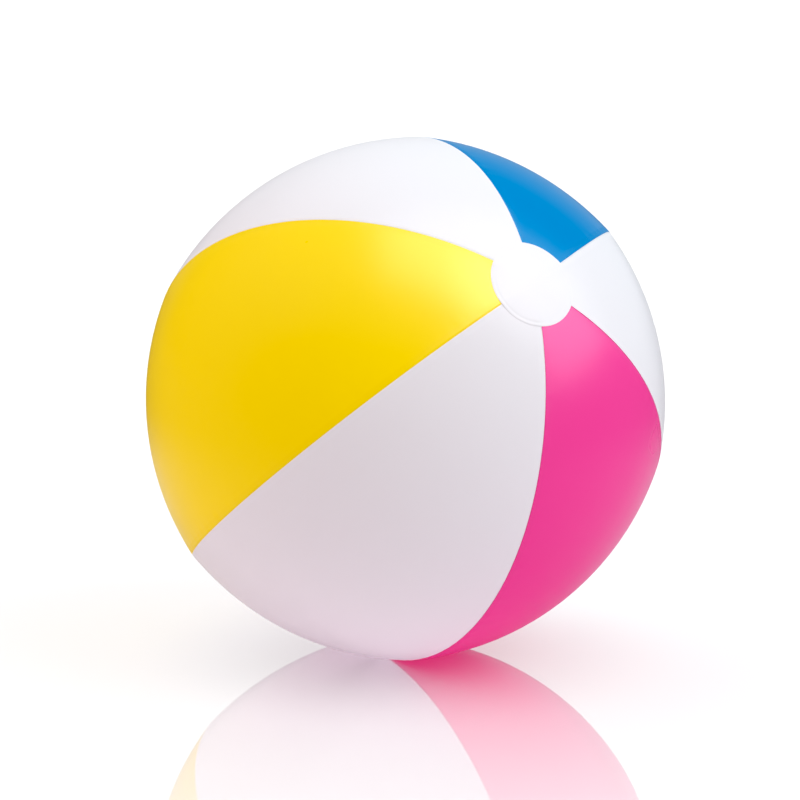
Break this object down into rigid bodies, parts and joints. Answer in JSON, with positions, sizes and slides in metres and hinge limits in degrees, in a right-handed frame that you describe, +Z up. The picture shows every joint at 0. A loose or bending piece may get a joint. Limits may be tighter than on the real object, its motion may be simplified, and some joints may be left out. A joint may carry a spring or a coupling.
{
  "type": "inflatable beach ball",
  "caption": "Blown-up vinyl ball of coloured and white gore panels with a disc over each end and a push-in air valve in one of them.",
  "frame": {"origin": "on the floor, directly under the ball's centre", "axes": "+Z up from the floor. The seam axis leans 55.6 degrees from +Z: the plain end disc faces (0.455, -0.688, 0.565) and the valve faces the other way."},
  "size_m": [0.3211, 0.3248, 0.3243],
  "materials": {
    "vinyl_yellow": "gloss",
    "vinyl_magenta": "gloss",
    "vinyl_blue": "gloss",
    "vinyl_white": "gloss",
    "valve_vinyl": "satin, slightly translucent"
  },
  "bodies": {
    "skin": {"panel_blue": "vinyl_blue", "panel_white_top": "vinyl_white", "panel_yellow": "vinyl_yellow", "panel_white_front": "vinyl_white", "panel_magenta": "vinyl_magenta", "panel_white_right": "vinyl_white", "end_disc_plain": "vinyl_white", "end_disc_valve": "vinyl_white", "valve_flange": "valve_vinyl", "valve_skirt": "valve_vinyl"},
    "valve": {"valve_stem": "valve_vinyl", "plug_strap": "valve_vinyl"},
    "plug": {"valve_plug": "valve_vinyl"},
    "flap": {"check_flap": "valve_vinyl"}
  },
  "joints": [
    {"name": "valve_travel", "type": "slide", "parent": "skin", "child": "valve", "axis": [-0.4554, 0.6881, -0.565], "range_m": [0, 0.017], "deforming": ["valve_skirt"]},
    {"name": "plug_swing", "type": "hinge", "parent": "valve", "child": "plug", "pos_m": [-0.0702, 0.12025, 0.07092], "axis": [0.6285, -0.201, -0.7514], "range_deg": [0, 115], "deforming": ["plug_strap"]},
    {"name": "flap_open", "type": "hinge", "parent": "valve", "child": "flap", "pos_m": [-0.06438, 0.1075, 0.0792], "axis": [-0.6285, 0.201, 0.7514], "range_deg": [0, 60], "stiffness_Nm_per_rad": 0.0005}
  ]
}
